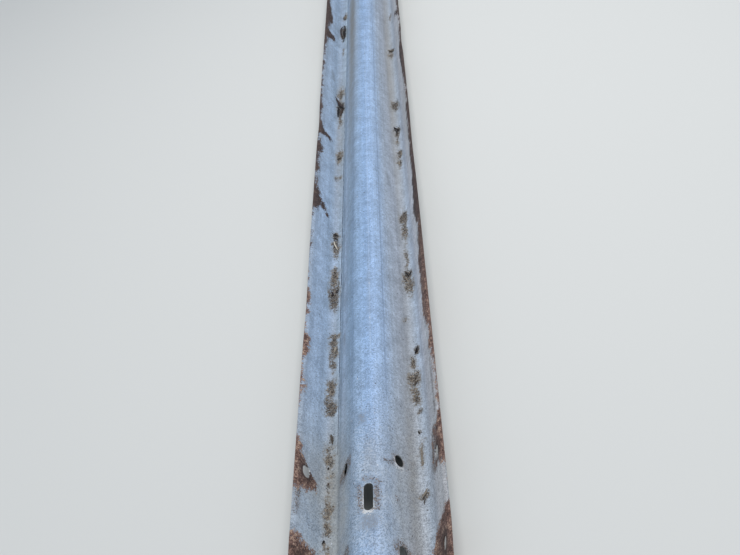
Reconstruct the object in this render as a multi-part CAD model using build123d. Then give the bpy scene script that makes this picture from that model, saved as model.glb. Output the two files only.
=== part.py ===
from build123d import *
import os
from math import asin, atan2, cos, degrees, hypot, radians, sin, tan

# Standard single W-beam guardrail section, lying back side up:
# its two humps touch the ground, its middle ridge and two lips face the sky.
# It is one sheet of steel, roll-formed along Y. The origin is under its middle, on the ground.

# Section, in millimetres
sheetThickness = 2.67     # 12 gauge
overallWidth = 312.0      # lip to lip
overallDepth = 83.0       # face of the humps to the back of the ridge
humpSpacing = 194.0       # crown to crown
ridgeFlat = 29.0          # flat that bears on the post
bendRadius = 24.0         # inside radius of the ridge and hump bends
lipBendRadius = 8.0       # inside radius where the edge turns outwards
lipFlat = 6.0             # straight end of the lip
lipAngle = 30.0           # degrees from level

# Length and bolt holes, in millimetres
postSlotSpacing = 3810.0  # effective length of the section, slot to slot
spliceRowSpacing = 216.0  # between the two rows of splice holes at an end
endDistance = 51.0        # last row of splice holes to the sheared end
innerHoleSpacing = 112.0  # across the rail, between the two holes of the inner webs
outerHoleToEdge = 18.5    # across the rail, middle of an outer hole to the edge beside it
spliceHoleWidth = 24.0
spliceHoleLength = 29.0
postSlotWidth = 19.0
postSlotLength = 64.0

# Worked out from the values above
overallLength = postSlotSpacing + spliceRowSpacing + 2 * endDistance
halfThickness = sheetThickness / 2
bendCentreRadius = bendRadius + halfThickness        # to the middle of the sheet
lipBendCentreRadius = lipBendRadius + halfThickness
ridgeHeight = overallDepth - halfThickness
outerHoleSpacing = overallWidth - 2 * outerHoleToEdge
punchDepth = 4 * sheetThickness                      # longer than the sheet is thick


def pointAt(centre, radius, angle):
    """Point at a distance and an angle in degrees from a point of the section plane."""
    x, z = centre
    return (x + radius * cos(radians(angle)), z + radius * sin(radians(angle)))


def webSlope(lowCentre, lowRadius, highCentre, highRadius):
    """Slope in degrees of the straight web that crosses over between two opposite bends."""
    run = abs(highCentre[0] - lowCentre[0])
    rise = highCentre[1] - lowCentre[1]
    return degrees(atan2(rise, run) + asin((lowRadius + highRadius) / hypot(run, rise)))


def onWeb(x, webFoot, slope):
    """Point of a straight web at a distance x from the middle of the rail."""
    return (x, webFoot[1] + (x - webFoot[0]) * tan(radians(slope)))


# Right half of the section, as (x, z) points on the middle of the sheet
ridgeBendCentre = (ridgeFlat / 2, ridgeHeight - bendCentreRadius)
humpBendCentre = (humpSpacing / 2, halfThickness + bendCentreRadius)
lipTip = (overallWidth / 2 - halfThickness * sin(radians(lipAngle)),
          overallDepth - halfThickness * cos(radians(lipAngle)))
lipStart = pointAt(lipTip, lipFlat, 180 + lipAngle)
lipBendCentre = pointAt(lipStart, lipBendCentreRadius, lipAngle - 90)

innerSlope = webSlope(humpBendCentre, bendCentreRadius, ridgeBendCentre, bendCentreRadius)
outerSlope = webSlope(humpBendCentre, bendCentreRadius, lipBendCentre, lipBendCentreRadius)

# From the ridge outwards, each bend's centre, mid-sheet radius, first and last angle,
# and whether it bulges upwards (1) or downwards (-1)
bends = [
    (ridgeBendCentre, bendCentreRadius, 90, 90 - innerSlope, 1),
    (humpBendCentre, bendCentreRadius, 270 - innerSlope, 270 + outerSlope, -1),
    (lipBendCentre, lipBendCentreRadius, 90 + outerSlope, 90 + lipAngle, 1),
]

# A row of splice holes has one hole on each straight web
innerFoot = pointAt(humpBendCentre, bendCentreRadius, 270 - innerSlope)
outerFoot = pointAt(humpBendCentre, bendCentreRadius, 270 + outerSlope)
innerHole = onWeb(innerHoleSpacing / 2, innerFoot, -innerSlope)
outerHole = onWeb(outerHoleSpacing / 2, outerFoot, outerSlope)


def drawFace(side):
    """Draw the upper (1) or lower (-1) face of the right half, and return its two ends."""
    shift = side * halfThickness
    start = (0, ridgeHeight + shift)
    pen = start
    for centre, radius, firstAngle, lastAngle, bulge in bends:
        faceRadius = radius + bulge * shift
        Line(pen, pointAt(centre, faceRadius, firstAngle))
        CenterArc(centre, faceRadius, firstAngle, lastAngle - firstAngle)
        pen = pointAt(centre, faceRadius, lastAngle)
    tip = pointAt(pen, lipFlat, lipAngle)
    Line(pen, tip)
    return start, tip


def formedSheet():
    """The roll-formed sheet at its full length, without its holes."""
    with BuildPart() as sheet:
        with BuildSketch(Plane.XZ):
            with BuildLine():
                upperStart, upperTip = drawFace(1)
                lowerStart, lowerTip = drawFace(-1)
                Line(upperTip, lowerTip)
                Line(upperStart, lowerStart)
            make_face()
            mirror(about=Plane.YZ)
        extrude(amount=overallLength / 2, both=True)
    return sheet.part


def punch(x, y, z, slope, length, width):
    """Obround punch, square to a web of that slope, its long way along the rail."""
    normal = (-sin(radians(slope)), 0, cos(radians(slope)))
    web = Plane(origin=(x, y, z), x_dir=(0, 1, 0), z_dir=normal)
    return extrude(web * SlotOverall(length, width), amount=punchDepth / 2, both=True)


def spliceRow(y):
    """The four holes of one row of splice bolts."""
    holes = []
    for side in (-1, 1):
        for (x, z), slope in ((innerHole, -innerSlope), (outerHole, outerSlope)):
            holes.append(punch(side * x, y, z, side * slope, spliceHoleLength, spliceHoleWidth))
    return holes


def endHoles(end):
    """Post bolt slot of one end (-1 or 1), with a row of splice holes on either side of it."""
    slotY = end * postSlotSpacing / 2
    holes = [punch(0, slotY, ridgeHeight, 0, postSlotLength, postSlotWidth)]
    for row in (-1, 1):
        holes += spliceRow(slotY + row * spliceRowSpacing / 2)
    return holes


rail = formedSheet() - endHoles(-1) - endHoles(1)

os.makedirs("parts", exist_ok=True)
export_step(rail, "parts/w_beam_rail.step")
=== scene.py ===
import math
from functools import partial

import bmesh
import bpy
import numpy as np
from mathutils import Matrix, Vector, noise


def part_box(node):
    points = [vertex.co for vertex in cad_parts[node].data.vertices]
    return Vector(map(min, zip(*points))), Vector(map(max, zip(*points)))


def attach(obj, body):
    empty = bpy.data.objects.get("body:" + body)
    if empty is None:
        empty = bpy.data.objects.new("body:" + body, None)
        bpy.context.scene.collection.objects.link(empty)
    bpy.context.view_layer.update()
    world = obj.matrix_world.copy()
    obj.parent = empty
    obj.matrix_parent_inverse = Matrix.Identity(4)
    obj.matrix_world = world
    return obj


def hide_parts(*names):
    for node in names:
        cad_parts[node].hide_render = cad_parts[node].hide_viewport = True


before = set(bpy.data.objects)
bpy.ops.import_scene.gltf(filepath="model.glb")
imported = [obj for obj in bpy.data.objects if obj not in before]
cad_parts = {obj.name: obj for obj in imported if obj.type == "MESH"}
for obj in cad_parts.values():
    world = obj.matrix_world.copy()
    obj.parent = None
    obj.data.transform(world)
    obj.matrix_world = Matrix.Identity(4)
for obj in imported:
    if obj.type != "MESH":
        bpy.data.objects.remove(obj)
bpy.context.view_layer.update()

railLow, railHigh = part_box("w_beam_rail")
mm = 0.001
print("frame loaded, rail", [round(high - low, 4) for low, high in zip(railLow, railHigh)])

# The rail lies back side up. "across" runs over the flat sheet from its middle to its edges,
# "along" runs down the rail from the near post slot, both in millimetres.
# The sheet is punched flat and then roll-formed, as the real one is.
rail = {
    "thickness": 2.67,
    "humpSpacing": 194.0,       # crown to crown
    "ridgeFlat": 29.0,
    "bendRadius": 24.0,         # inside the ridge and hump bends
    "lipBendRadius": 8.0,
    "lipFlat": 6.0,
    "lipAngle": 30.0,           # degrees from level
    "bendStep": 2.5,            # degrees between two points of a bend
    "postSlotSpacing": 3810.0,
    "postSlot": (19.0, 64.0),   # across, along
    "spliceHole": (24.0, 29.0),
    "spliceRowSpacing": 216.0,
    "innerHoleSpacing": 112.0,  # measured level, across the formed rail
    "outerHoleSpacing": 275.0,
    "meshAcross": 4.2,          # widest spacing of mesh lines
    "meshAlongNear": 9.0,       # up to fineUntil
    "meshAlong": 20.0,
    "fineUntil": 620.0,
    "slotReach": (14.0, 40.0),  # half size of the block of mesh that is fitted to a slot
    "holeReach": (18.5, 21.0),
    "blockCells": 10,           # cells along each side of such a block
    "outlineRing": 4,           # ring of its mesh lines that becomes the outline
    "rimRounding": 0.45,        # worn edge of the sheet and of the holes
    "rimSegments": 2,
    "rimAngle": 50.0,           # degrees, sharper edges than this are worn
    "waveHeight": 0.9,          # unevenness left by rolling, use and stacking
    "waveLength": 420.0,
    "waveSeed": 3.0,
    "freeFrom": 0.68,           # share of the half width beyond which the sheet gives way
    "sinkSlope": 0.6,           # how far an edge sinks for each millimetre that it goes inwards
}
nearSlotY = -rail["postSlotSpacing"] / 2
nodePrefixes = ("GeometryNode", "ShaderNode", "FunctionNode", "Node")
socketKinds = {float: "Float", int: "Int", tuple: "Vector"}     # others by their own name


def setInputs(node, inputs):
    # in order or by name: a plain value, a socket, or a node whose first output is meant
    for key, value in inputs.items() if isinstance(inputs, dict) else enumerate(inputs):
        if isinstance(value, bpy.types.Node):
            value = value.outputs[0]
        if isinstance(value, bpy.types.NodeSocket):
            node.id_data.links.new(value, node.inputs[key])
        else:
            node.inputs[key].default_value = value


def addNode(tree, kind, inputs=(), stops=(), **settings):
    # kind is the node's type without its prefix, then its operation if it has one
    kind, _, operation = kind.partition(" ")
    node = tree.nodes.new(next(prefix + kind for prefix in nodePrefixes
                               if hasattr(bpy.types, prefix + kind)))
    if operation:
        node.operation = operation
    for name, value in settings.items():
        setattr(node, name, value)
    setInputs(node, inputs)
    for i, (place, colour) in enumerate(stops):
        elements = node.color_ramp.elements
        element = elements[i] if i < 2 else elements.new(place)
        element.position, element.color = place, hexColour(colour)
    return node


def hexColour(code):
    # sRGB hex to the linear colour that the shader wants
    values = [int(code[i:i + 2], 16) / 255 for i in (1, 3, 5)]
    return [v / 12.92 if v <= 0.04045 else ((v + 0.055) / 1.055) ** 2.4 for v in values] + [1]


def linkObject(name, data):
    piece = bpy.data.objects.new(name, data)
    bpy.context.scene.collection.objects.link(piece)
    return piece


def meshObject(name, points, faces):
    mesh = bpy.data.meshes.new(name)
    mesh.from_pydata(points, [], faces)
    return linkObject(name, mesh)


def curveObject(name, lines):
    # each line is a list of points, (place, radius)
    curve = bpy.data.curves.new(name, "CURVE")
    curve.dimensions = "3D"
    for line in lines:
        spline = curve.splines.new("POLY")
        spline.points.add(len(line) - 1)
        for point, (place, radius) in zip(spline.points, line):
            point.co, point.radius = (*place, 1), radius
    return linkObject(name, curve)


def addTree(piece, build, inputs):
    # a modifier whose tree has a named input for each value, and the nodes that build adds
    tree = bpy.data.node_groups.new(build.__name__, "GeometryNodeTree")
    for way in ("INPUT", "OUTPUT"):
        tree.interface.new_socket("Geometry", in_out=way, socket_type="NodeSocketGeometry")
    values = {}
    for label, value in inputs.items():
        kind = "NodeSocket" + socketKinds.get(type(value), type(value).__name__)
        socket = tree.interface.new_socket(label, in_out="INPUT", socket_type=kind)
        values[socket.identifier] = value
    add = partial(addNode, tree)
    build(add, add("GroupInput").outputs)
    modifier = piece.modifiers.new(tree.name, "NODES")
    modifier.node_group = tree
    for identifier, value in values.items():
        modifier[identifier] = value


def crumple(add, geometry, size, height, detail, middle):
    # soft noise moves the points about; size and height in millimetres
    hills = add("TexNoise", {"Scale": 1 / (size * mm), "Detail": detail})
    centred = add("VectorMath SUBTRACT", [hills.outputs["Color"], middle])
    offset = add("VectorMath SCALE", {0: centred, "Scale": height * mm})
    return add("SetPosition", {"Geometry": geometry, "Offset": offset})


def endTree(add, geometry, material):
    realized = add("RealizeInstances", [geometry])
    coated = add("SetMaterial", {"Geometry": realized, "Material": material})
    add("GroupOutput", [coated])


def addPiece(source, name):
    # plain mesh of what the modifiers make; the source object goes
    graph = bpy.context.evaluated_depsgraph_get()
    mesh = bpy.data.meshes.new_from_object(
        source.evaluated_get(graph), preserve_all_data_layers=True, depsgraph=graph)
    mesh.name = name
    bpy.data.objects.remove(source)
    piece = linkObject(name, mesh)
    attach(piece, "root")
    print(name, len(mesh.polygons), "faces")
    return piece


def pointAt(centre, radius, angle):
    return (centre[0] + radius * math.cos(math.radians(angle)),
            centre[1] + radius * math.sin(math.radians(angle)))


def webSlope(low, lowRadius, high, highRadius):
    run, rise = abs(high[0] - low[0]), high[1] - low[1]
    lean = math.asin((lowRadius + highRadius) / math.hypot(run, rise))
    return math.degrees(math.atan2(rise, run) + lean)


def halfSection():
    # middle of the sheet from the ridge to the right edge, in millimetres
    width, _, depth = (np.array(railHigh) - railLow) / mm
    half = rail["thickness"] / 2
    bend, lipBend = rail["bendRadius"] + half, rail["lipBendRadius"] + half
    ridge = (rail["ridgeFlat"] / 2, depth - half - bend)
    hump = (rail["humpSpacing"] / 2, half + bend)
    lipAngle = rail["lipAngle"]
    tip = pointAt((width / 2, depth), -half, 90 - lipAngle)
    lip = pointAt(pointAt(tip, rail["lipFlat"], 180 + lipAngle), lipBend, lipAngle - 90)
    inner = webSlope(hump, bend, ridge, bend)
    outer = webSlope(hump, bend, lip, lipBend)
    points = [(0, depth - half)]
    for centre, radius, first, last in ((ridge, bend, 90, 90 - inner),
                                        (hump, bend, 270 - inner, 270 + outer),
                                        (lip, lipBend, 90 + outer, 90 + lipAngle)):
        steps = math.ceil(abs(last - first) / rail["bendStep"])
        points += [pointAt(centre, radius, first + (last - first) * i / steps)
                   for i in range(steps + 1)]
    return np.array(points + [tip])


halfLine = halfSection()
halfAcross = np.concatenate([[0], np.cumsum(np.hypot(*np.diff(halfLine, axis=0).T))])
sheetHalf = float(halfAcross[-1])       # half of the flat sheet's width
sheetEnd = (railHigh[1] - railLow[1]) / mm / 2
print("flat sheet", round(2 * sheetHalf, 1), "mm wide")

# where the holes are on the flat sheet
holeColumns = [side * float(np.interp(rail[spacing] / 2, halfLine[:, 0], halfAcross))
               for spacing in ("innerHoleSpacing", "outerHoleSpacing") for side in (-1, 1)]
railEnds = (0.0, rail["postSlotSpacing"])
holeRows = {end: [end + side * rail["spliceRowSpacing"] / 2 for side in (-1, 1)]
            for end in railEnds}
holes = [(0.0, end) + rail["postSlot"] for end in railEnds] \
    + [(across, along) + rail["spliceHole"] for end in railEnds for along in holeRows[end]
       for across in holeColumns]


def onRail(across, along, lift):
    # a point of the formed rail's upper face in metres, raised by lift
    side, reach = np.sign(across), min(abs(across), sheetHalf)
    x, z, dx, dz = (np.interp(reach, halfAcross, line)
                    for line in (*halfLine.T, *np.gradient(halfLine, halfAcross, axis=0).T))
    length, raised = np.hypot(dx, dz), lift + rail["thickness"] / 2
    return (side * (x - raised * dz / length) * mm, (nearSlotY + along) * mm,
            (z + raised * dx / length) * mm)


# Wear and dirt, painted on the flat sheet
wear = {
    # how far rust reaches in from the left and right edge: (along, reach); on the right edge,
    # from about 500 to 2300 along, the band is partly painted shade on the turned lip's shaded
    # side
    "leftRust": [
        (-160, 62), (-110, 72), (-80, 74), (-66, 70), (-60, 52), (-54, 18), (-48, 2), (-40, -8),
        (46, -8), (54, 6), (62, 32), (70, 56), (82, 66), (96, 66), (106, 54), (116, 46),
        (126, 36), (136, 28), (150, 18), (170, 11), (190, 4), (210, -4), (300, 0), (325, 7),
        (348, 10), (372, 4), (415, 2), (440, 8), (465, 18), (495, 18), (515, 5), (560, 1),
        (620, 5), (675, 6), (700, 0), (1045, 0), (1062, 18), (1090, 34), (1145, 32), (1178, 12),
        (1200, 2), (1255, 4), (1268, 18), (1300, 18), (1315, 6), (1350, 10), (1385, 12),
        (1402, 24), (1430, 22), (1455, 6), (1500, 6), (1510, 38), (1532, 44), (1546, 34),
        (1558, 8), (1600, 8), (1700, 9), (1760, 4), (2200, 6), (2300, 14), (2450, 20), (2500, 40),
        (2560, 40), (2640, 20), (2900, 5), (3100, 10), (3180, 32), (3230, 6), (3560, 4),
        (3660, 14), (3700, 40), (3740, 18), (3900, 22), (3970, 44)],
    # partly painted shade: the turned lip's shaded side, from about 500 to 2300 along
    "rightRustAndLipShade": [
        (-160, 90), (-110, 98), (-92, 96), (-72, 92), (-62, 84), (-54, 62), (-46, 36), (-38, 10),
        (-30, -8), (52, -8), (62, 8), (74, 24), (90, 32), (145, 32), (168, 22), (186, 8),
        (200, 0), (235, 4), (290, 2), (385, 6), (398, 22), (415, 12), (440, 5), (470, 14),
        (505, 28), (545, 34), (590, 36), (615, 28), (645, 32), (700, 34), (735, 36), (770, 28),
        (800, 18), (840, 15), (870, 13), (890, 14), (920, 22), (960, 32), (1000, 32), (1050, 25),
        (1120, 20), (1200, 16), (1300, 15), (1360, 12), (1440, 13), (1500, 13), (1560, 13),
        (1620, 10), (1690, 5), (1740, 8), (1820, 16), (1900, 23), (1960, 31), (2020, 26),
        (2080, 13), (2120, 7), (2250, 3), (2400, 10), (2550, 6), (2850, 16), (3000, 26),
        (3150, 10), (3400, 7), (3640, 28), (3700, 48), (3760, 18), (3880, 28), (3970, 56)],
    # strokes over the sheet, from one point to another:
    # (across, along, across, along, half width at the first, half width at the second)
    "scabs": [
        (-215, 1112, -193, 1092, 24, 10), (-193, 1092, -175, 1082, 9, 6),
        (-212, 1530, -186, 1532, 18, 15), (-232, 2345, -190, 2362, 42, 20),
        (188, 150, 186, 84, 3, 3.5), (204, 168, 200, 80, 4, 4), (226, 2392, 196, 2458, 9, 6),
        (-225, 3340, -190, 3310, 20, 6), (228, 2700, 200, 2730, 22, 8)],
    # brown stain round the holes
    "stains": [
        (-60, 112, -88, 98, 19, 19), (-66, -100, -86, -116, 17, 17), (68, -102, 82, -114, 19, 20),
        (88, 112, 90, 96, 3, 4), (56, 100, 34, 88, 7, 5), (64, 124, 60, 94, 5, 5),
        (16, -28, 17, 32, 7, 7), (-16, -26, -18, 26, 6, 7), (8, 42, -8, 44, 6, 5),
        (62, 14, 66, 4, 4, 4), (-228, 56, -230, -6, 6, 5), (200, 165, 196, 95, 18, 28),
        (222, 360, 222, 200, 3, 5), (12, 3784, 15, 3840, 6, 8), (-14, 3788, -15, 3832, 4, 5),
        (62, 3918, 84, 3906, 8, 9), (-58, 3716, -92, 3690, 6, 7), (66, 3694, 88, 3712, 7, 7),
        (-62, 3932, -86, 3904, 8, 7)],
    # dull grey scuffs where the patina is rubbed
    "scuffs": [
        (-7, -47, -7, -65, 5, 5), (2, -47, 2, -65, 6, 6), (12, -47, 12, -65, 5, 5),
        (-13, 212, -11, 194, 4, 3), (-92, 540, -90, 500, 6, 2), (84, 1240, 90, 1180, 3, 7),
        (-184, 2060, -176, 1990, 3, 8), (6, 2790, 2, 2850, 9, 5), (0, 3868, 6, 3878, 12, 9)],
    # dirt caught in the two troughs: (across, along, half width, half length, amount, darkness)
    "dirt": [
        (-141, 994, 15, 20, 1.0, 0.8), (-141, 950, 15, 36, 0.9, 0.5),
        (-140, 908, 9, 28, 0.7, 0.4), (-141, 845, 8, 10, 0.6, 0.5), (-140, 800, 15, 46, 0.9, 0.3),
        (-142, 740, 16, 34, 1.0, 0.6), (-142, 696, 14, 34, 1.0, 0.7),
        (-135, 562, 15, 12, 0.8, 0.4), (-137, 525, 13, 42, 0.85, 0.45),
        (-139, 465, 9, 34, 0.7, 0.5), (-142, 374, 15, 38, 0.85, 0.35),
        (-143, 330, 19, 32, 1.0, 0.6), (-137, 232, 5, 9, 0.7, 0.9),
        (-142, 172, 9, 38, 0.45, 0.35), (-142, 102, 4, 14, 0.7, 0.9),
        (-140, 42, 12, 32, 1.0, 0.2), (-141, 2, 7, 18, 0.45, 0.2), (-140, -15, 10, 6, 0.6, 0.8),
        (-142, -60, 8, 28, 0.5, 0.3), (-142, -128, 10, 22, 0.6, 0.4),
        (-134, 2480, 16, 80, 1.0, 0.9), (-128, 2640, 12, 40, 0.6, 0.1),
        (-133, 2280, 5, 36, 0.5, 0.5), (-138, 1905, 15, 50, 0.8, 0.25),
        (-138, 1800, 14, 50, 1.0, 0.9), (-142, 1765, 12, 26, 0.95, 0.9),
        (-138, 1695, 6, 50, 0.5, 0.6), (-138, 1445, 15, 40, 0.95, 0.35),
        (-137, 1318, 9, 10, 0.4, 0.5), (137, 1026, 15, 34, 1.0, 0.6), (138, 962, 9, 50, 0.8, 0.5),
        (137, 830, 5, 50, 0.5, 0.5), (137, 760, 18, 24, 0.95, 0.75),
        (138, 716, 18, 50, 1.0, 0.45), (122, 573, 8, 7, 0.5, 0.6), (145, 463, 9, 12, 0.9, 1.0),
        (134, 428, 7, 28, 0.75, 0.5), (132, 372, 17, 37, 0.85, 0.3),
        (134, 318, 14, 34, 0.85, 0.45), (140, 268, 9, 6, 0.9, 0.9), (135, 210, 4, 5, 0.7, 0.7),
        (148, 188, 8, 5, 0.6, 0.6), (137, 140, 6, 26, 0.6, 0.3), (136, 42, 10, 9, 0.7, 0.6),
        (140, 2188, 15, 17, 0.95, 1.0), (135, 2145, 10, 28, 0.45, 0.3),
        (140, 1725, 17, 36, 0.85, 0.95), (138, 1545, 13, 16, 0.9, 1.0),
        (137, 1510, 9, 28, 0.85, 0.6), (136, 1470, 5, 32, 0.4, 0.3),
        (140, 1386, 13, 24, 0.8, 0.7), (137, 1338, 9, 30, 0.7, 0.5), (147, 2525, 9, 26, 0.6, 0.7),
        (-137, 2950, 12, 60, 0.8, 0.5), (136, 3120, 13, 70, 0.85, 0.6),
        (-139, 3420, 11, 50, 0.8, 0.3), (138, 3600, 10, 40, 0.7, 0.7),
        (-140, 3860, 12, 50, 0.85, 0.5)],
    # soft films: (across, along, half width, half length, strength)
    "chalk": [
        (-95, 0, 50, 260, 0.85), (-190, 0, 60, 240, 0.6), (60, -40, 60, 200, 0.4),
        (0, 0, 30, 90, 0.6), (180, 60, 60, 260, 0.25), (-95, 3800, 50, 240, 0.6),
        (190, 3780, 60, 220, 0.4)],
    # grime, and painted shade: the patches on the left inner web and on the left side near the
    # end darken it for shade
    "grime": [
        (-62, 2250, 42, 950, 0.9), (-48, 2600, 30, 700, 0.4), (170, 2400, 60, 900, 0.35),
        (110, 60, 15, 260, 0.7), (106, 460, 20, 300, 0.3), (4, 104, 15, 50, 0.5),
        (8, 620, 7, 150, 0.25), (-160, 125, 95, 95, 0.5), (-130, 20, 22, 150, 0.6),
        (-138, 400, 13, 330, 0.4), (-80, -60, 24, 110, 0.3), (136, 800, 15, 700, 0.25),
        (-138, 1600, 17, 500, 0.7), (124, 1900, 20, 700, 0.6), (62, 70, 45, 170, 0.4),
        (214, 1470, 30, 260, 0.45)],
    # knocks in the free edges, pressed inwards, the last value is the depth
    "dents": [
        (240, 2090, 50, 80, 3.0), (240, 1330, 40, 150, 1.5), (-240, 1560, 45, 90, 2.2),
        (-240, 620, 40, 140, 1.6), (240, -150, 60, 45, 2.4), (-240, -150, 60, 40, 1.8),
        (-240, 3100, 45, 110, 2.4), (240, 3560, 45, 90, 2.0), (240, 3960, 60, 50, 2.6)],
    "hillSize": 16.0,           # how coarse the uneven outlines of rust and dirt are
    "rustHills": 11.0,          # millimetres in and out
    "rustSeed": 1.5,
    "dirtHills": 0.55,
    "dirtSeed": 7.5,
    "farAway": 60.0,            # a stroke or hole that is further off doesn't count
    "highlightSoftness": (14.0, 10.0), # how softly the painted highlight on the near left side of a hole, where its rim catches the light, ends
    "leftWebHighlight": 0.2,       # against 1 on the right webs; painted highlights are fainter on the left webs, which face away from the light
    "glintChips": (6.0, 0.75, 1.0),  # pale specks, partly painted glints, on that side, fewer per millimetre, elsewhere
    "bareRim": (2.2, 0.4),      # width of the painted rim highlight on that side, less this all round
}


def unevenness(across, along, seed):
    # random hills over the flat sheet, about -1 to 1
    size, fading, spacing, octaves = wear["hillSize"], 0.8, 2.0, 3
    return np.array([noise.fractal((u / size, v / size, seed), fading, spacing, octaves)
                     for u, v in zip(across, along)])


def patchAmount(patches, across, along):
    # 1 in the middle of a full patch, 0 at its border, below 0 outside, and the patch it is in
    amounts = np.stack([strength * (1 - np.hypot((across - middle) / halfWidth,
                                                 (along - place) / halfLength))
                        for middle, place, halfWidth, halfLength, strength, *_ in patches])
    return np.maximum(amounts.max(0), -1), amounts.argmax(0)


def softAmount(patches, across, along):
    return sum(strength * np.exp(-((across - middle) / halfWidth) ** 2
                                 - ((along - place) / halfLength) ** 2)
               for middle, place, halfWidth, halfLength, strength in patches)


def strokeInside(strokes, across, along):
    # millimetres inside the nearest stroke, below 0 outside
    inside = np.full(across.shape, -wear["farAway"])
    for u0, v0, u1, v1, half0, half1 in strokes:
        share = ((across - u0) * (u1 - u0) + (along - v0) * (v1 - v0)) \
            / ((u1 - u0) ** 2 + (v1 - v0) ** 2)
        share = np.clip(share, 0, 1)
        distance = np.hypot(across - u0 - share * (u1 - u0), along - v0 - share * (v1 - v0))
        inside = np.maximum(inside, half0 + (half1 - half0) * share - distance)
    return inside


def rustInside(across, along):
    # millimetres inside the nearest scab or rusted margin, below 0 outside; the right margin is
    # partly painted lip shade
    inside = strokeInside(wear["scabs"], across, along)
    for margin, inwards in ((wear["leftRust"], sheetHalf + across),
                            (wear["rightRustAndLipShade"], sheetHalf - across)):
        outline = [(reach0, place0, reach1, place1, 0, 0)
                   for (place0, reach0), (place1, reach1) in zip(margin, margin[1:])]
        side = np.interp(along, *np.array(margin).T) - inwards
        within = np.copysign(strokeInside(outline, inwards, along), side)
        inside = np.maximum(inside, within)
    return inside


def roundHoles(across, along):
    # millimetres from the nearest hole's outline, and how much painted highlight its surroundings
    # get:
    # 1 on the near left side of a hole, where its rim catches the light, 0 on its other side, and
    # less on the left webs, which face away from the light
    nearest, highlight = np.full(across.shape, wear["farAway"]), np.zeros(across.shape)
    softAcross, softAlong = wear["highlightSoftness"]
    for middle, place, width, length in holes:
        aside, down = across - middle, along - place
        straight = (length - width) / 2
        beyond = down - np.clip(down, -straight, straight)
        nearest = np.minimum(nearest, np.hypot(aside, beyond) - width / 2)
        full = wear["leftWebHighlight"] if middle < 0 else 1.0
        side = full * (0.5 - 0.5 * np.tanh(down / softAlong + aside / softAcross))
        highlight = np.where(np.hypot(aside, down) < wear["farAway"], side, highlight)
    return nearest, highlight


def meshLines(low, high, blocks, spacing):
    # line places from low to high, with each hole's block cut into the same number of cells
    lines, start = [], low
    for middle, half in sorted(blocks) + [(high, 0)]:
        first, last = middle - half, middle + half
        count = max(1, math.ceil((first - start) / spacing))
        cells = rail["blockCells"] if half else 0
        lines += [*np.linspace(start, first, count, endpoint=False)]
        lines += [*np.linspace(first, last, cells, endpoint=False)]
        start = last
    return lines + [high]


def punchHole(across, along, keep, hole):
    # the square rings of mesh lines round a hole become rings that follow its outline
    middle, place, width, length = hole
    i0 = int(np.argmin(abs(across[:, 0] - middle)))
    j0 = int(np.argmin(abs(along[0] - place)))
    reach, rim = rail["blockCells"] // 2, rail["outlineRing"]
    halfU, halfV = across[i0 + reach, 0] - middle, along[0, j0 + reach] - place
    i, j = np.mgrid[-reach:reach + 1, -reach:reach + 1]
    ring = np.maximum(abs(i), abs(j)).clip(1)
    turn = np.select([i == ring, j == ring, i == -ring],
                     [j / ring, 2 - i / ring, 4 - j / ring], 6 + i / ring) * math.pi / 4
    share = (ring - rim) / (reach - rim)
    for lines, centre, half, steps, outline in (
            (across, middle, halfU, i, width / 2 * np.cos(turn)),
            (along, place, halfV, j,
             width / 2 * np.sin(turn) + (length - width) / 2 * np.sign(j))):
        block = lines[i0 - reach:i0 + reach + 1, j0 - reach:j0 + reach + 1]
        moved = centre + outline + (half * steps / ring - outline) * share
        block[ring >= rim] = moved[ring >= rim]
    keep[i0 - rim:i0 + rim, j0 - rim:j0 + rim] = False


def paintSheet(mesh, *place):
    # what the material and the forming read, kept on the points of the mesh
    dirt, patch = patchAmount(wear["dirt"], *place)
    toHole, highlight = roundHoles(*place)
    (glintChips, chipsFade, chipsFewer), (rim, rimLess) = wear["glintChips"], wear["bareRim"]
    amounts = {
        "rust": rustInside(*place) + wear["rustHills"] * unevenness(*place, wear["rustSeed"]),
        "dirt": dirt + wear["dirtHills"] * unevenness(*place, wear["dirtSeed"]),
        "darkness": np.array(wear["dirt"])[patch, 5],
        "stain": strokeInside(wear["stains"], *place),
        "scuff": strokeInside(wear["scuffs"], *place),
        "chalk": softAmount(wear["chalk"], *place),
        "grime": softAmount(wear["grime"], *place),
        "toHole": toHole,
        # pale chips with painted glints, and a painted highlight on the rim, on the lit near side
        # of each hole
        "chip": glintChips * highlight - chipsFade * toHole - chipsFewer,
        "bareRim": rim * highlight - toHole - rimLess,
        "dent": softAmount(wear["dents"], *place) * mm}
    for name, values in amounts.items():
        mesh.attributes.new(name, "FLOAT", "POINT").data.foreach_set("value", values)


def punchedSheet():
    middle, change = rail["postSlotSpacing"] / 2, rail["fineUntil"]
    (slotAcross, slotAlong), (holeAcross, holeAlong) = rail["slotReach"], rail["holeReach"]
    near, far = ([(end, slotAlong)] + [(row, holeAlong) for row in holeRows[end]]
                 for end in railEnds)
    us = meshLines(-sheetHalf, sheetHalf, [(0, slotAcross)] + [
        (column, holeAcross) for column in holeColumns], rail["meshAcross"])
    vs = meshLines(middle - sheetEnd, change, near, rail["meshAlongNear"])[:-1] \
        + meshLines(change, middle + sheetEnd, far, rail["meshAlong"])
    across, along = np.meshgrid(us, vs, indexing="ij")
    keep = np.ones((len(us) - 1, len(vs) - 1), bool)
    for hole in holes:
        punchHole(across, along, keep, hole)
    index = np.arange(across.size).reshape(across.shape)
    quads = np.stack([index[:-1, :-1], index[1:, :-1], index[1:, 1:], index[:-1, 1:]], -1)[keep]
    used, quads = np.unique(quads, return_inverse=True)
    across, along = across.ravel()[used], along.ravel()[used]
    points = np.stack([across, nearSlotY + along, 0 * across], -1) * mm
    sheet = meshObject("punchedSheet", points.tolist(), quads.reshape(-1, 4).tolist())
    paintSheet(sheet.data, across, along)
    return sheet


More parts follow.
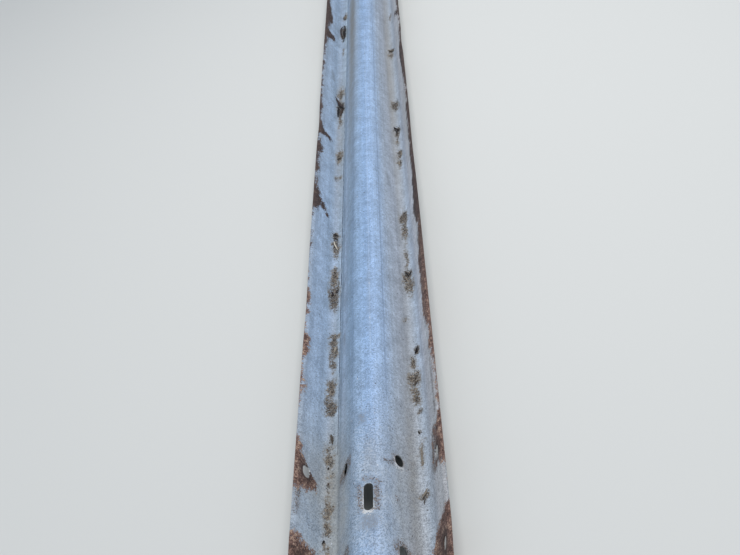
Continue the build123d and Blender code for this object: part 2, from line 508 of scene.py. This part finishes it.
def rollForming(add, given):
    # the flat place becomes a UV map, so that later patterns follow the sheet
    flat = add("InputPosition")
    mapped = add("StoreNamedAttribute", {
        "Geometry": given["Geometry"], "Name": "blank", "Value": flat},
        data_type="FLOAT2", domain="CORNER")

    # each point goes to the same length on the section
    parts = add("SeparateXYZ", [flat]).outputs
    section = add("ObjectInfo", {"Object": given["Section"]})
    length = add("Math ADD", [parts["X"], given["Half width"]])
    sample = add("SampleCurve", {
        "Curves": section.outputs["Geometry"], "Length": length}, mode="LENGTH").outputs
    onSection = add("SeparateXYZ", [sample["Position"]]).outputs
    formed = add("CombineXYZ", [onSection["X"], parts["Y"], onSection["Z"]])
    upwards = add("VectorMath CROSS_PRODUCT", [sample["Tangent"], (0, 1, 0)])

    # slow waves and knocks in the free edges, which never push the sheet outwards
    perLength = add("Math DIVIDE", [1.0, given["Wave length"]])
    wave = add("TexNoise", {
        "Vector": flat, "W": given["Seed"], "Scale": perLength, "Detail": 2.0},
        noise_dimensions="4D")
    edge = add("Math DIVIDE", [parts["X"], given["Half width"]])
    aside = add("Math ABSOLUTE", [edge])
    free = add("MapRange", [aside, rail["freeFrom"], 1.0], interpolation_type="SMOOTHSTEP")
    knock = add("InputNamedAttribute", {"Name": "dent"})
    sunk = add("Math MULTIPLY_ADD", [wave, given["Wave height"], knock])
    sunk = add("Math MULTIPLY", [sunk, free])
    side = add("Math SIGN", [edge])
    towards = add("CombineXYZ", {"X": side, "Z": rail["sinkSlope"]})
    inwards = add("VectorMath SCALE", {0: towards, "Scale": sunk})
    middle = add("VectorMath SUBTRACT", [formed, inwards])

    # two faces half a thickness either side of the middle, and the sheared rim between them
    half = add("VectorMath SCALE", {0: upwards, "Scale": given["Half thickness"]})
    kept = add("StoreNamedAttribute", {"Geometry": mapped, "Name": "halfSheet", "Value": half},
               data_type="FLOAT_VECTOR")
    lowered = add("VectorMath SUBTRACT", [middle, half])
    lower = add("SetPosition", {"Geometry": kept, "Position": lowered})
    halfAgain = add("InputNamedAttribute", {"Name": "halfSheet"}, data_type="FLOAT_VECTOR")
    grown = add("ExtrudeMesh", {
        "Mesh": lower, "Offset": halfAgain, "Offset Scale": 2.0, "Individual": False},
        mode="FACES")
    upper = add("StoreNamedAttribute", {
        "Geometry": grown, "Name": "faceUp", "Value": grown.outputs["Top"]},
        data_type="BOOLEAN", domain="FACE")
    under = add("FlipFaces", [lower])
    joined = add("JoinGeometry")
    for part in (upper, under):
        setInputs(joined, [part])
    closed = add("MergeByDistance", {"Geometry": joined, "Distance": 0.01 * mm})
    endTree(add, add("SetShadeSmooth", [closed]), given["Material"])


def buildRail(material):
    # the rollers press the sheet to the section, from its left edge to its right one
    line = np.concatenate([halfLine[:0:-1] * (-1, 1), halfLine]) * mm
    section = curveObject("rolledSection", [[((x, 0, z), 1.0) for x, z in line]])
    sheet = punchedSheet()
    addTree(sheet, rollForming, {
        "Section": section, "Half width": sheetHalf * mm,
        "Half thickness": rail["thickness"] * mm / 2,
        "Wave height": rail["waveHeight"] * mm, "Wave length": rail["waveLength"] * mm,
        "Seed": rail["waveSeed"], "Material": material})
    rim = sheet.modifiers.new("wornRim", "BEVEL")
    rim.width, rim.segments = rail["rimRounding"] * mm, rail["rimSegments"]
    rim.limit_method, rim.angle_limit = "ANGLE", math.radians(rail["rimAngle"])
    flats = sheet.modifiers.new("flatFaces", "WEIGHTED_NORMAL")
    flats.keep_sharp = True
    piece = addPiece(sheet, "rolledRail")
    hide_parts("w_beam_rail")
    bpy.data.objects.remove(section)
    return piece


def newMaterial(name):
    material = bpy.data.materials.new(name)
    material.use_nodes = True
    tree = material.node_tree
    return material, partial(addNode, tree), tree.nodes["Principled BSDF"]


# Colours and sizes of the zinc and what is on it, with painted sky reflection, shade and
# highlights among them, sizes in millimetres
finish = {
    # zinc from the left edge to the right one: (across, colour); its blue is painted sky
    # reflection on the upper face, the darker left inner web is partly painted shade, the pale
    # right outer web is partly painted bounce light, and the light band at -119 is painted light
    # beside a crease, over real dust in the troughs and a cleaner ridge
    "zinc": [
        (-240, "#97a5b6"), (-200, "#b4c7dd"), (-160, "#a6b8cc"), (-143, "#98a9be"),
        (-128, "#9bacbd"), (-119, "#b8c7d4"), (-112, "#8da0b3"), (-95, "#aec0d4"),
        (-60, "#99b1c8"), (-35, "#8fa9c5"), (0, "#8ba8cb"), (15, "#93aed0"), (45, "#abc2de"),
        (75, "#acb8c7"), (105, "#b0b8c4"), (122, "#9da3ac"), (150, "#b2bfce"), (190, "#cfd0d4"),
        (212, "#d0d0d1"), (240, "#a8a8aa")],
    "zincMetal": 0.2,
    "zincRough": (0.3, 0.7, 0.45, 0.62),    # cloud tone from and to, roughness from and to
    # how patterns shade the zinc: (pattern, darkest at, palest at, strength)
    "zincShades": [("clouds", 0.3, 0.7, 0.16), ("streaks", 0.25, 0.75, 0.12),
                   ("crystals", 0.0, 1.0, 0.12), ("fine", 0.25, 0.75, 0.34)],
    # lines along the bends, partly painted crease shade where a bend turns sharper than the
    # model's and partly faint
    # roller marks: (across, half width, along from, along to, colour, strength)
    "bendLinesAndCreaseShade": [
        (-119, 2.1, 180, 1950, "#4b5b72", 0.95), (45.5, 2.4, 260, 2600, "#6f82a0", 0.45),
        (-76, 4.0, 300, 1500, "#7d95ae", 0.35), (-36, 1.4, 200, 1900, "#6c84a2", 0.4),
        (10, 1.4, 380, 2300, "#b4cbe6", 0.35), (24, 1.6, 420, 2500, "#7f9cc2", 0.3),
        (-14, 1.6, 500, 2300, "#7f9cc2", 0.25)],
    "markFades": (0.3, 0.5),        # cloud tone where a line is lost, and where it is whole
    "markRough": 0.6,
    "colours": {
        "underside": "#a2a9b0",     # neutral zinc, without the painted sky reflection of the upper face
        "chalk": "#b6b9b6",         # pale bloom of old zinc
        # grime colour, also used as painted shade on the left webs
        "grime": "#8f897d",
        "weatherDark": "#75767a",   # neutral grains of the weathered near end
        "weatherPale": "#c6cbcf",
        "darkSpeck": "#4d4a4a",
        "paleSpeck": "#cdd3da",
        "scuff": "#7a8089",
        "chip": "#dad9d6",          # pale specks round the holes, partly painted glints, most on their lit near side
        # painted highlight where a hole's rim catches the light
        "bareRim": "#c9cdd1",
        "wash": "#8f897d"},         # thin mud round the soil
    "stain": [(0.4, "#362c28"), (0.5, "#5f5048"), (0.62, "#93857b")],
    "rust": [(0.38, "#31231f"), (0.45, "#59423a"), (0.51, "#735850"), (0.565, "#957868"),
             (0.64, "#bfab97")],
    "rustGrainShare": 0.6,          # of its tone, the rest is patches
    # rust further on is darker, partly as older rust and partly as painted shade, and rust round
    # the holes is darker:
    # (measured, colour, starts at, full at, strength)
    "darkRustAndShade": [("along", "#2f2829", 520, 960, 0.75), ("toHole", "#3a2c28", 20.0, 2.0, 0.8)],
    "soil": [(0.28, "#2a2523"), (0.42, "#4b433d"), (0.54, "#6b6157"), (0.66, "#8d8173"),
             (0.80, "#afa494")],
    "soilDarker": -0.2,             # where the dirt is dark
    "soilPaler": 0.12,
    # patterns: (size, detail); "fine" is the zinc's own grain, drawn coarse enough to show
    "patterns": {"clouds": (45.0, 5.0), "fine": (3.0, 2.0), "patches": (12.0, 5.0),
                 "rustGrain": (3.2, 3.0), "soilGrain": (4.5, 4.0)},
    "patternRough": 0.6,
    "streak": (7.0, 420.0),         # across, along
    "spangle": 7.0,
    "speckSpacing": 10.0,
    "speckSize": 0.16,              # of their spacing, at most
    "darkSpecks": 0.5,              # specks whose lot is below this
    "paleSpecks": 0.75,             # and above this
    "weatherFades": (480, 120),     # not weathered beyond the first, fully before the second
    # what lies on the zinc, from the bottom up: (amount, cap on it, patterns that break up its
    # border and how far, where it starts, where it is full, strength, limited to, roughness)
    "layers": {
        "chalk": ("clouds", None, {"fine": 0.5}, 0.2, 0.7, 1.0, "chalk", 0.75),
        "grime": ("patches", None, {"fine": 0.8}, -0.35, 1.0, 1.0, "grime", 0.85),
        "weatherDark": ("fine", None, {}, 0.48, 0.38, 0.42, "weathered", 0.8),
        "weatherPale": ("fine", None, {}, 0.54, 0.64, 0.42, "weathered", 0.7),
        "darkSpeck": ("darkSpecks", None, {}, 0.0, 1.0, 1.0, None, 0.9),
        "paleSpeck": ("paleSpecks", None, {}, 0.0, 1.0, 1.0, None, 0.8),
        "scuff": ("scuff", 3.0, {"patches": 5.0, "fine": 60.0}, -3.0, 5.0, 0.8, "faceUp", 0.7),
        # painted highlights: glints among the chips, and the rim, on the lit side of the holes
        "chip": ("chip", None, {"fine": 36.0}, 0.0, 3.0, 0.85, None, 0.6),
        "bareRim": ("bareRim", None, {"rustGrain": 4.0}, 0.0, 0.8, 1.0, None, 0.5),
        "stain": ("stain", 4.0, {"patches": 14.0, "fine": 40.0}, 1.0, 4.0, 0.85, None, 0.9),
        "rust": ("rust", 12.0, {"patches": 18.0, "rustGrain": 44.0}, -1.5, 1.5, 1.0, None, 0.9),
        "wash": ("dirt", None, {"patches": 1.2}, -0.35, 0.5, 0.5, "faceUp", 0.9),
        "soil": ("dirt", 0.5, {"patches": 1.2, "soilGrain": 3.2}, 0.1, 0.45, 0.9, "faceUp",
                 0.95)},
    # relief: the zinc's skin, then (layer, pattern, height)
    "zincRelief": 0.05,
    "relief": [("rust", "rustGrain", 0.5), ("soil", "soilGrain", 1.6),
               ("stain", "rustGrain", 0.15)],
}


def galvanisedSteel():
    # Hot-dip zinc after years outdoors: dull cloudy grey, with a painted blue sky reflection and
    # painted shade and light across the section, faint lines along the bends that are partly
    # painted crease shade, a chalky bloom and grime where water dries, partly painted shade on
    # the left webs, painted highlights on the lit rims of the holes, and brown rust that creeps
    # in from the sheared margins, darker further on partly as painted shade.
    material, add, surface = newMaterial("weathered hot-dip galvanised steel")
    flat = add("SeparateXYZ", [add("UVMap", uv_map="blank")]).outputs
    values = {name: add("Attribute", attribute_name=name).outputs["Fac"]
              for name in ("faceUp", "rust", "dirt", "darkness", "stain", "scuff", "chalk",
                           "grime", "toHole", "chip", "bareRim")}

    values["across"] = add("Math MULTIPLY", [flat[0], 1 / mm])
    values["along"] = add("Math MULTIPLY_ADD", [flat[1], 1 / mm, -nearSlotY])

    # patterns
    place = add("CombineXYZ", [flat[0], flat[1], values["faceUp"]])
    for name, (size, detail) in finish["patterns"].items():
        values[name] = add("TexNoise", {
            "Vector": place, "Scale": 1 / (size * mm), "Detail": detail,
            "Roughness": finish["patternRough"]})
    streak, streakLength = finish["streak"]
    lengthwise = add("VectorMath MULTIPLY", [place, (1, streak / streakLength, 1)])
    values["streaks"] = add("TexNoise", {
        "Vector": lengthwise, "Scale": 1 / (streak * mm), "Detail": 3.0})
    crystals, specks = (
        add("TexVoronoi", {"Vector": place, "Scale": 1 / (finish[name] * mm)}).outputs
        for name in ("spangle", "speckSpacing"))
    values["crystals"] = add("SeparateColor", [crystals["Color"]])
    lot = add("SeparateColor", [specks["Color"]]).outputs
    speckSize = add("Math MULTIPLY", [lot[0], finish["speckSize"]])
    inSpeck = add("Math LESS_THAN", [specks["Distance"], speckSize])
    for name, choice in (("darkSpecks", "LESS_THAN"), ("paleSpecks", "GREATER_THAN")):
        chosen = add("Math " + choice, [lot[1], finish[name]])
        values[name] = add("Math MULTIPLY", [inSpeck, chosen])

    def cover(amount, cap, swings, low, high, strength=1.0, limit=None):
        # how fully something lies here: an amount, capped, its border broken up, and cut off
        if cap:
            amount = add("Math MINIMUM", [amount, cap])
        for name, reach in swings.items():
            swing = add("Math SUBTRACT", [values[name], 0.5])
            amount = add("Math MULTIPLY_ADD", [swing, reach, amount])
        part = add("MapRange", [amount, low, high, 0.0, strength])
        return add("Math MULTIPLY", [part, limit]) if limit else part

    values["weathered"] = cover(values["along"], None, {}, *finish["weatherFades"])

    # zinc with painted sky reflection, shade and light, by where it is on the section
    spread = add("Math MULTIPLY_ADD", [values["across"], 1 / (2 * sheetHalf), 0.5])
    colour = add("ValToRGB", [spread], [
        (across / (2 * sheetHalf) + 0.5, code) for across, code in finish["zinc"]])
    colours = {name: hexColour(code) for name, code in finish["colours"].items()}
    colour = add("Mix", {0: values["faceUp"], 6: colours["underside"], 7: colour},
                 data_type="RGBA").outputs[2]
    for name, low, high, strength in finish["zincShades"]:
        shade = add("MapRange", [values[name], low, high, 1 - strength, 1 + strength])
        colour = add("Mix", {0: 1.0, 6: colour, 7: shade},
                     data_type="RGBA", blend_type="MULTIPLY").outputs[2]

    # rust, darker further on (older rust and painted shade) and round the holes, and soil, darker
    # where the dirt is dark
    rustTone = add("Mix", {
        0: finish["rustGrainShare"], 2: values["patches"], 3: values["rustGrain"]})
    rust = add("ValToRGB", [rustTone], finish["rust"])
    for name, code, *border in finish["darkRustAndShade"]:
        rust = add("Mix", {0: cover(values[name], None, {}, *border), 6: rust,
                           7: hexColour(code)}, data_type="RGBA").outputs[2]
    soilTone = add("Math MULTIPLY_ADD", [
        values["darkness"], finish["soilDarker"], values["soilGrain"]])
    soilTone = cover(soilTone, None, {"fine": 0.5}, -finish["soilPaler"], 1 - finish["soilPaler"])
    colours.update(rust=rust, soil=add("ValToRGB", [soilTone], finish["soil"]),
                   stain=add("ValToRGB", [values["rustGrain"]], finish["stain"]))

    layers, covers = [], {}
    # lines along the bends, partly painted crease shade
    for across, half, start, end, code, strength in finish["bendLinesAndCreaseShade"]:
        aside = add("Math COMPARE", [values["across"], across, half])
        down = add("Math COMPARE", [values["along"], (start + end) / 2, (end - start) / 2])
        line = add("Math MULTIPLY", [aside, down])
        line = add("Math MULTIPLY", [line, values["faceUp"]])
        part = cover(values["clouds"], None, {}, *finish["markFades"], strength, line)
        layers.append((part, hexColour(code), finish["markRough"]))
    for name, (amount, *border, limit, rough) in finish["layers"].items():
        covers[name] = cover(values[amount], *border, values.get(limit))
        layers.append((covers[name], colours[name], rough))
    metal, rough = finish["zincMetal"], add("MapRange", [values["clouds"], *finish["zincRough"]])
    for part, layer, layerRough in layers:
        colour = add("Mix", {0: part, 6: colour, 7: layer}, data_type="RGBA").outputs[2]
        metal = add("Mix", {0: part, 2: metal, 3: 0.0})
        rough = add("Mix", {0: part, 2: rough, 3: layerRough})

    height = add("Math MULTIPLY", [values["fine"], finish["zincRelief"] * mm])
    for name, pattern, tall in finish["relief"]:
        grain = add("Math MULTIPLY", [covers[name], values[pattern]])
        height = add("Math MULTIPLY_ADD", [grain, tall * mm, height])
    bump = add("Bump", {"Height": height, "Distance": 1.0})
    setInputs(surface, {"Base Color": colour, "Metallic": metal, "Roughness": rough,
                        "Normal": bump})
    return material


# What is caught in the troughs, sizes in millimetres
litter = {
    "crumbs": {
        "perSquareMetre": 300000.0,
        "leastDirt": 0.15,          # painted amount of dirt where they begin
        "sizes": (0.4, 1.6),        # half of a crumb's width, smallest and largest
        "flatness": 0.7,
        "turn": math.pi,            # to either side
        "lift": 0.3,
        "seed": 5},
    "chaff": {
        "perSquareMetre": 26000.0,
        "leastDirt": 0.1,
        "sizes": (3.0, 9.0),        # length
        "flatness": 1.0,
        "turn": 1.2,
        "lift": 0.8,
        "seed": 11},
    "chaffWidth": 0.16,             # of its length
    "fullDirt": 0.5,                # more dirt than leastDirt, where they lie thickest
    "clumpSize": 7.0,
    "clumps": (0.4, 0.62, 0.1),     # noise between clumps and in them, share between them
    "darkBits": (-0.3, 0.12),       # change of shade where the dirt is dark, and everywhere
    "bitNoise": (2.5, 1.6),         # size and height of what makes the bits uneven
    "creases": (9.0, 5.0),          # the same for leaves
    "leafStep": 3.0,
    "leafSides": 10,
    "ownShade": 0.45,               # share of a bit's shade that is spots
    "spotHeight": 0.4,
    "rough": 0.95,
    # strips: look, size of its spots, thickness of its width, curl, colours
    "strips": {
        "deadLeaves": ("dead curled leaf", 6.0, 0.09, 0.35, [
            (0.25, "#131113"), (0.42, "#1f191b"), (0.56, "#2d2424"), (0.72, "#4a3c37")]),
        "fadedLeaves": ("faded leaf scraps", 5.0, 0.09, 0.35, [
            (0.25, "#443d37"), (0.45, "#645b51"), (0.6, "#837a6e"), (0.75, "#a1988b")]),
        "peeledTwigs": ("dry peeled twig", 3.0, 1.0, 0.0, [
            (0.25, "#8d7f6c"), (0.45, "#b7a992"), (0.6, "#d4cab8"), (0.75, "#e4ddd0")])},
    # curled dead leaves: points along each, (across, along, height, half width)
    "deadLeaves": [
        [(-170, 1856, 5, 0.6), (-160, 1836, 8, 3.4), (-147, 1812, 11, 5), (-131, 1796, 9, 4.5),
         (-106, 1772, 6, 0.8)],
        [(-152, 1800, 3, 1), (-149, 1776, 7, 3.6), (-150, 1752, 6, 3.6), (-148, 1722, 2, 1)],
        [(-128, 1792, 3, 1), (-133, 1762, 6, 3.4), (-138, 1734, 2, 1)],
        [(-134, 2560, 2, 1), (-121, 2512, 8, 2.4), (-118, 2470, 10, 2.8), (-125, 2424, 7, 2.3),
         (-136, 2380, 2, 1)],
        [(-136, 2548, 2, 1), (-150, 2505, 8, 3), (-150, 2462, 9, 3.2), (-140, 2416, 2, 1)],
        [(-132, 2500, 2, 0.8), (-135, 2476, 6, 2.2), (-133, 2444, 2, 0.8)],
        [(132, 213, 0.6, 0.6), (134, 210, 1.5, 2.2), (136, 206, 0.6, 0.6)],
        [(-144, 153, 0.6, 0.6), (-143, 149, 1.5, 2.2), (-143, 145, 0.6, 0.6)],
        [(-143, 112, 0.6, 0.6), (-142, 108, 1.5, 2.4), (-142, 104, 0.6, 0.6)],
        [(-146, 202, 0.6, 0.6), (-145, 199, 1.2, 1.8), (-144, 196, 0.6, 0.6)],
        [(122, 1562, 6, 0.8), (131, 1551, 7, 3.4), (143, 1545, 5, 3.8), (156, 1541, 4, 0.8)],
        [(133, 1540, 3, 0.8), (137, 1526, 4, 2.4), (135, 1508, 2, 0.8)],
        [(154, 470, 5, 0.5), (149, 466, 5, 2.2), (145, 460, 4, 3.3), (140, 453, 2, 0.8)],
        [(-151, 1003, 3, 0.8), (-143, 1000, 5, 2.8), (-134, 997, 3, 0.8)],
        [(-148, 988, 2, 0.8), (-141, 985, 4, 2.2), (-134, 981, 2, 0.8)],
        [(128, 769, 4, 0.6), (134, 761, 5, 1.6), (140, 750, 3, 0.9)],
        [(154, 764, 4, 0.6), (147, 759, 5, 1.6), (140, 752, 3, 0.9)],
        [(-150, 742, 3, 1), (-147, 732, 5, 3), (-148, 722, 2, 1)],
        [(-126, 748, 4, 1), (-131, 744, 5, 2.6), (-137, 738, 2, 1)],
        [(-146, -30, 2, 2), (-149, -34, 3, 3), (-151, -39, 1, 1)],
        [(136, 3140, 3, 2), (130, 3112, 7, 7), (137, 3080, 2, 1)],
        [(-146, 3434, 3, 1), (-139, 3420, 6, 6), (-131, 3410, 3, 1)],
        [(146, 3606, 3, 1), (139, 3596, 6, 7), (133, 3582, 2, 2)],
        [(-148, 2966, 3, 1), (-140, 2948, 6, 7), (-133, 2930, 3, 1)]],
    "fadedLeaves": [
        [(146, 57, 3, 0.8), (138, 47, 4, 2.4), (130, 35, 3, 1)],
        [(138, 34, 2, 0.6), (134, 27, 3, 1.2), (133, 20, 1, 0.5)],
        [(-130, 524, 3, 1), (-133, 518, 4, 3.5), (-136, 508, 2, 1)],
        [(-138, 242, 4, 1), (-135, 230, 5, 2.8), (-134, 214, 2, 1)],
        [(139, 168, 3, 1), (137, 150, 3, 2), (138, 120, 2, 1.5)],
        [(142, 366, 3, 0.8), (136, 356, 3, 1.6), (126, 350, 2, 0.7)],
        [(-150, 976, 3, 0.8), (-142, 979, 5, 2.2), (-132, 972, 3, 0.8)],
        [(146, 1402, 3, 0.8), (139, 1396, 4, 2.2), (131, 1392, 2, 0.8)],
        [(140, 1324, 2, 0.6), (137, 1332, 3, 1.6), (139, 1344, 2, 0.6)],
        [(124, 2202, 3, 0.8), (134, 2191, 5, 3.6), (147, 2186, 4, 2.8), (155, 2178, 2, 0.8)],
        [(-134, 2652, 3, 2), (-128, 2636, 6, 8), (-124, 2616, 3, 2)],
        [(-131, 1444, 3, 2), (-139, 1436, 5, 4), (-147, 1430, 3, 1)]],
    # a peeled twig, and a few stalks
    "peeledTwigs": [
        [(-149, 962, 7, 1.7), (-142, 944, 6, 1.8), (-134, 926, 5, 1.5)],
        [(134, 440, 3, 0.5), (131, 424, 4, 0.6), (136, 406, 3, 0.5)],
        [(-146, 850, 3, 0.4), (-139, 846, 4, 0.6), (-131, 848, 3, 0.4)],
        [(140, 1400, 3, 0.6), (149, 1392, 5, 0.8), (146, 1372, 3, 0.6)]],
}


def plantMaterial(name, stops, spot):
    # Dried mud, straw and leaf: matt, each bit its own shade, mottled at a few millimetres
    material, add, surface = newMaterial(name)
    lumps = add("TexNoise", {
        "Vector": add("TexCoord").outputs["Object"], "Scale": 1 / (spot * mm), "Detail": 3.0})
    shade = add("Attribute", attribute_name="shade").outputs["Fac"]
    tone = add("Mix", {0: 1 - litter["ownShade"], 2: lumps, 3: shade})
    colour = add("ValToRGB", [tone], stops)
    bump = add("Bump", {"Height": lumps, "Distance": litter["spotHeight"] * mm})
    setInputs(surface, {"Base Color": colour, "Roughness": litter["rough"], "Normal": bump})
    return material


def caughtBits(add, given):
    # copies of a small thing lie on the dirty stretches of the upper face
    dirt, darkness, isUp = (
        add("InputNamedAttribute", {"Name": name}, data_type=kind)
        for name, kind in (("dirt", "FLOAT"), ("darkness", "FLOAT"), ("faceUp", "BOOLEAN")))
    top = add("SeparateGeometry", [given["Geometry"], isUp], domain="FACE")
    clumps = add("TexNoise", {"Scale": 1 / (litter["clumpSize"] * mm), "Detail": 2.0})
    clumped = add("MapRange", [clumps, *litter["clumps"]])
    full = add("Math ADD", [given["Least dirt"], litter["fullDirt"]])
    density = add("MapRange", [dirt, given["Least dirt"], full])
    for share in (given["Density"], clumped):
        density = add("Math MULTIPLY", [density, share])
    points = add("DistributePointsOnFaces", {
        "Mesh": top, "Density": density, "Seed": given["Seed"]})

    # dark clods lie where the dirt is dark
    lot = add("RandomValue", {"Seed": 21}).outputs[1]
    darker, paler = litter["darkBits"]
    shade = add("Math MULTIPLY_ADD", [darkness, darker, lot])
    shade = add("Math ADD", [shade, paler])
    shaded = add("StoreNamedAttribute", {"Geometry": points, "Name": "shade", "Value": shade})

    # each lies flat on the sheet, a little raised and turned about
    normal = points.outputs["Normal"]
    lift = add("VectorMath SCALE", {0: normal, "Scale": given["Lift"]})
    raised = add("SetPosition", {"Geometry": shaded, "Offset": lift})
    size = add("RandomValue", {
        0: given["Smallest"], 1: given["Largest"], "Seed": given["Seed"]},
        data_type="FLOAT_VECTOR")
    laid = add("AxesToRotation", [normal, (0, 1, 0)], primary_axis="Z", secondary_axis="Y")
    back = add("Math MULTIPLY", [given["Turn"], -1.0])
    spin = add("RandomValue", {2: back, 3: given["Turn"], "Seed": 22}).outputs[1]
    spun = add("EulerToRotation", [add("CombineXYZ", {"Z": spin})])
    turned = add("RotateRotation", [laid, spun], rotation_space="LOCAL")
    thing = add("ObjectInfo", {"Object": given["Thing"]})
    placed = add("InstanceOnPoints", {
        "Points": raised, "Instance": thing.outputs["Geometry"], "Rotation": turned,
        "Scale": size})
    bits = add("RealizeInstances", [placed])
    uneven = crumple(add, bits, *litter["bitNoise"], 1.0, (0.5, 0.5, 0.4))
    endTree(add, uneven, given["Material"])


def crumbMesh():
    mesh = bpy.data.meshes.new("crumb")
    shape = bmesh.new()
    bmesh.ops.create_icosphere(shape, subdivisions=1, radius=1.0)
    shape.to_mesh(mesh)
    shape.free()
    return linkObject("crumb", mesh)


def chaffMesh():
    # a bent closed splinter, one unit long
    rings = [(-0.5, 0.0, 0.25), (-0.2, 0.1, 1.0), (0.15, 0.12, 0.9), (0.5, 0.02, 0.2)]
    width = litter["chaffWidth"] / 2
    verts = [(width * size * x, along, high + width * size * z)
             for along, high, size in rings
             for x, z in ((-1, 0), (0, -0.5), (1, 0), (0, 0.5))]
    faces = [(0, 1, 2, 3), (15, 14, 13, 12)]
    for ring in range(3):
        for i in range(4):
            a, b = ring * 4 + i, ring * 4 + (i + 1) % 4
            faces.append((a, a + 4, b + 4, b))
    return meshObject("chaff", verts, faces)


def scatterOnRail(name, thing, bits):
    source = linkObject(name + "Source", railPiece.data.copy())
    smallest, largest = (tuple(size * mm * part for part in (1, 1, bits["flatness"]))
                         for size in bits["sizes"])
    addTree(source, caughtBits, {
        "Thing": thing, "Density": bits["perSquareMetre"], "Least dirt": bits["leastDirt"],
        "Smallest": smallest, "Largest": largest, "Turn": bits["turn"],
        "Lift": bits["lift"] * mm, "Seed": bits["seed"], "Material": soilMaterial})
    addPiece(source, name)
    bpy.data.objects.remove(thing)


def driedStrip(add, given):
    # a closed strip that is as wide as its path says, with its edges curled up
    soft = add("CurveSplineType", {"Curve": given["Geometry"]}, spline_type="CATMULL_ROM")
    path = add("ResampleCurve", {"Curve": soft, "Length": given["Step"]}, mode="LENGTH")
    up = add("SetCurveNormal", {"Curve": path}, mode="Z_UP")
    lot = add("RandomValue", {"Seed": 4}).outputs[1]
    shade = add("StoreNamedAttribute", {
        "Geometry": up, "Name": "shade", "Value": lot}, domain="CURVE")
    ring = add("CurvePrimitiveCircle", {"Resolution": litter["leafSides"], "Radius": 1.0})
    spot = add("SeparateXYZ", [add("InputPosition")]).outputs
    thin = add("Math MULTIPLY", [spot[1], given["Thickness"]])
    square = add("Math POWER", [spot[0], 2.0])
    curled = add("Math MULTIPLY_ADD", [square, given["Curl"], thin])
    profile = add("SetPosition", {
        "Geometry": ring, "Position": add("CombineXYZ", [spot[0], curled])})
    strip = add("CurveToMesh", {
        "Curve": shade, "Profile Curve": profile, "Fill Caps": True,
        "Scale": add("InputRadius")})
    creased = crumple(add, strip, *litter["creases"], 2.0, (0.5, 0.5, 0.5))
    endTree(add, creased, given["Material"])


railPiece = buildRail(galvanisedSteel())
soilMaterial = plantMaterial("dried soil crumbs", finish["soil"], 5.0)
scatterOnRail("troughCrumbs", crumbMesh(), litter["crumbs"])
scatterOnRail("troughChaff", chaffMesh(), litter["chaff"])
for name, (look, spot, thickness, curl, stops) in litter["strips"].items():
    source = curveObject(name + "Source", [
        [(onRail(across, along, height), half * mm) for across, along, height, half in path]
        for path in litter[name]])
    addTree(source, driedStrip, {
        "Thickness": thickness, "Curl": curl, "Step": litter["leafStep"] * mm,
        "Material": plantMaterial(look, stops, spot)})
    addPiece(source, name)

studio = {
    "floorReach": 40.0,                       # metres
    "floorColour": "#d8d8d4",
    "floorRough": 0.9,
    "camera": (0.294, -1.038, 1.413),         # metres from the near post slot, at floor level
    "cameraTurn": (51.407, 12.890, -0.755),   # degrees
    "lens": 41.886,                           # on a frame this wide
    "sensorWidth": 36.0,
    "worldColour": "#e2eaf5",
    "worldStrength": 0.64,
    "keyPlace": (0.8, 0.0, 4.2),
    "keySize": (2.5, 6.0),
    "keyPower": 138.0,
}


def buildStudio():
    scene = bpy.context.scene
    reach = studio["floorReach"]
    floor = meshObject("floor", [(reach * x, reach * y, 0) for x, y in
                                 ((-1, -1), (1, -1), (1, 1), (-1, 1))], [(0, 1, 2, 3)])
    material, _, surface = newMaterial("plain pale floor")
    setInputs(surface, {
        "Base Color": hexColour(studio["floorColour"]), "Roughness": studio["floorRough"]})
    floor.data.materials.append(material)

    world = bpy.data.worlds.new("paleStudio")
    world.use_nodes = True
    setInputs(world.node_tree.nodes["Background"], {
        "Color": hexColour(studio["worldColour"]), "Strength": studio["worldStrength"]})
    scene.world = world

    lamp = bpy.data.lights.new("softKey", "AREA")
    lamp.shape = "RECTANGLE"
    lamp.size, lamp.size_y = studio["keySize"]
    lamp.energy = studio["keyPower"]
    key = linkObject("softKey", lamp)
    key.location = studio["keyPlace"]
    key.rotation_euler = (0, math.atan2(studio["keyPlace"][0], studio["keyPlace"][2]), 0)

    lens = bpy.data.cameras.new("camera")
    lens.lens, lens.sensor_width = studio["lens"], studio["sensorWidth"]
    camera = linkObject("camera", lens)
    x, y, z = studio["camera"]
    camera.location = (x, y + nearSlotY * mm, z)
    camera.rotation_euler = [math.radians(turn) for turn in studio["cameraTurn"]]
    scene.camera = camera
    scene.view_settings.view_transform = "Standard"


buildStudio()
print("studio ready")
